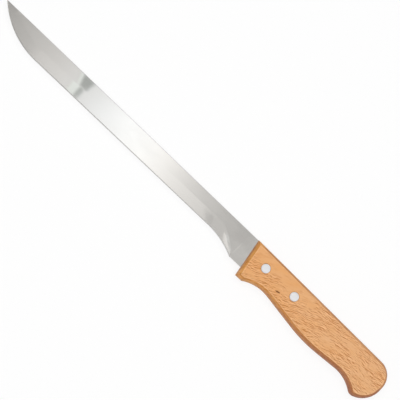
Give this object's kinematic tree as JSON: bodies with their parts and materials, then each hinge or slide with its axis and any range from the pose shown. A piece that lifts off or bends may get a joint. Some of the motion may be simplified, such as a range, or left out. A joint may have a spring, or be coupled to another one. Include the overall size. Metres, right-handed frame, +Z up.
{
  "type": "carving knife",
  "caption": "Carving knife with a long narrow blade whose short tang is riveted into a slotted, contoured beech handle with a hooked butt.",
  "frame": {"origin": "centre of the knife's outline, at the height of the handle's lower flat face, on which the knife lies", "axes": "+X from the tip to the butt, +Y from the cutting edge to the spine, +Z up, square to the flat side of the blade"},
  "size_m": [0.3844, 0.0348, 0.0165],
  "materials": {
    "steel": "fine ground and polished, with a brighter sharpened edge",
    "beech": "oiled beech with short dark flecks along the grain",
    "rivet_aluminium": "ground flush with the wood, satin"
  },
  "bodies": {
    "root": {"blade": "steel", "handle": "beech", "front_rivet_stud": "rivet_aluminium", "front_rivet_sleeve": "rivet_aluminium", "rear_rivet_stud": "rivet_aluminium", "rear_rivet_sleeve": "rivet_aluminium"}
  },
  "joints": []
}
